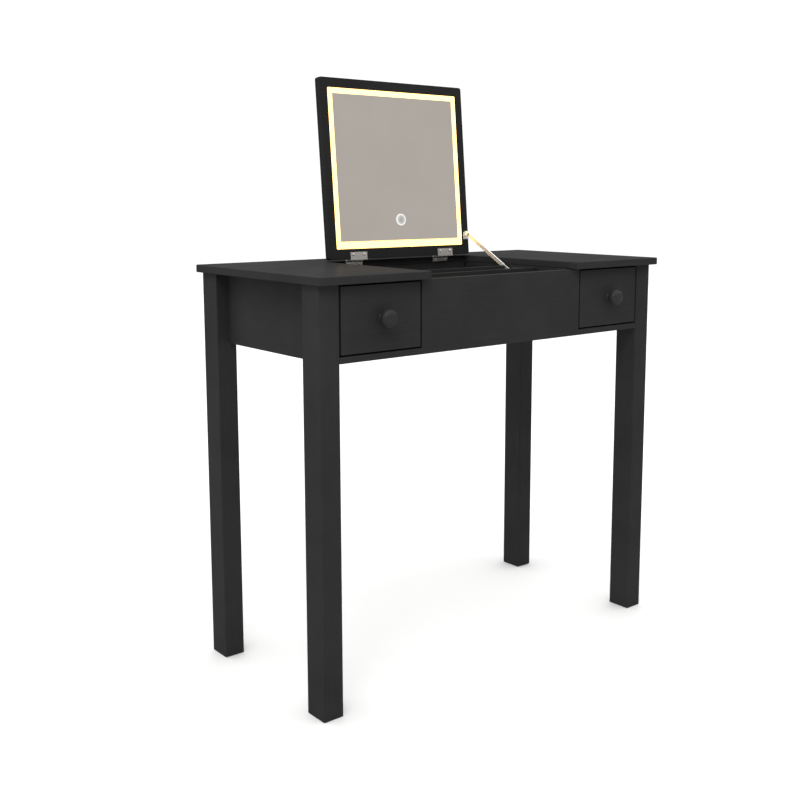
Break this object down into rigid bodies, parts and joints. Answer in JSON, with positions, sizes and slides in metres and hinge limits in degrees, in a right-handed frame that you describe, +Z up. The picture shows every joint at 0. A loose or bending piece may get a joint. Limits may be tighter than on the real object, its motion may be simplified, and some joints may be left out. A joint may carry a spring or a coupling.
{
  "type": "vanity table",
  "caption": "Four-legged black vanity table with two drawers and a flip-up lighted mirror lid over an open compartment.",
  "frame": {"origin": "centre of the whole object's bounding box, on the floor", "axes": "+Z up, +X to the sitter's right, -Y toward the sitter"},
  "size_m": [0.852, 0.429, 1.1157],
  "materials": {
    "black_paint": "satin black paint on fibreboard and solid wood",
    "inner_board": "thin matt black coating on board",
    "hinge_steel": "nickel-plated, brushed",
    "screw_steel": "bright",
    "black_plastic": "fine matt",
    "mirror": "silvered glass",
    "light_diffuser": "frosted, lit warm white"
  },
  "bodies": {
    "table": {"leg_front_left": "black_paint", "leg_front_right": "black_paint", "leg_rear_left": "black_paint", "leg_rear_right": "black_paint", "side_apron_left": "black_paint", "side_apron_right": "black_paint", "rear_apron": "black_paint", "front_rail": "black_paint", "centre_panel": "black_paint", "compartment_wall_left": "black_paint", "compartment_wall_right": "black_paint", "compartment_rear_wall": "black_paint", "compartment_floor": "black_paint", "divider_front": "black_paint", "divider_rear": "black_paint", "tabletop": "black_paint", "runner_left_outer": "inner_board", "runner_left_inner": "inner_board", "runner_right_outer": "inner_board", "runner_right_inner": "inner_board", "hinge_left_fixed_leaf": "hinge_steel", "hinge_right_fixed_leaf": "hinge_steel", "fixed_leaf_screw_1": "screw_steel", "fixed_leaf_screw_2": "screw_steel", "fixed_leaf_screw_3": "screw_steel", "fixed_leaf_screw_4": "screw_steel", "stay_track": "black_plastic"},
    "lid": {"lid_frame": "black_paint", "lid_back_panel": "black_paint", "led_strip": "light_diffuser", "led_diffuser": "light_diffuser", "mirror_backer": "black_plastic", "mirror_glass": "mirror", "touch_button": "light_diffuser", "hinge_left_lid_leaf": "hinge_steel", "hinge_right_lid_leaf": "hinge_steel", "lid_leaf_screw_1": "screw_steel", "lid_leaf_screw_2": "screw_steel", "lid_leaf_screw_3": "screw_steel", "lid_leaf_screw_4": "screw_steel", "stay_lid_bracket": "hinge_steel", "power_inlet": "black_plastic"},
    "stay_arm": {"stay_arm": "hinge_steel"},
    "drawer_left": {"drawer_left_front": "black_paint", "drawer_left_outer_side": "inner_board", "drawer_left_inner_side": "inner_board", "drawer_left_back": "inner_board", "drawer_left_bottom": "inner_board", "drawer_left_knob": "black_paint", "drawer_left_knob_screw": "screw_steel"},
    "drawer_right": {"drawer_right_front": "black_paint", "drawer_right_outer_side": "inner_board", "drawer_right_inner_side": "inner_board", "drawer_right_back": "inner_board", "drawer_right_bottom": "inner_board", "drawer_right_knob": "black_paint", "drawer_right_knob_screw": "screw_steel"}
  },
  "joints": [
    {"name": "lid_hinge", "type": "hinge", "parent": "table", "child": "lid", "pos_m": [-0.0062, 0.1267, 0.7595], "axis": [1, 0, 0], "range_deg": [0, 95]},
    {"name": "stay_pivot", "type": "hinge", "parent": "lid", "child": "stay_arm", "pos_m": [0.1676, 0.10971, 0.80736], "axis": [1, 0, 0], "range_deg": [-120, 0]},
    {"name": "drawer_left_slide", "type": "slide", "parent": "table", "child": "drawer_left", "axis": [0, -1, 0], "range_m": [0, 0.2]},
    {"name": "drawer_right_slide", "type": "slide", "parent": "table", "child": "drawer_right", "axis": [0, -1, 0], "range_m": [0, 0.2]}
  ],
  "couplings": [
    {"joint": "stay_pivot", "follows": "lid_hinge", "ratio": -1.2568}
  ]
}
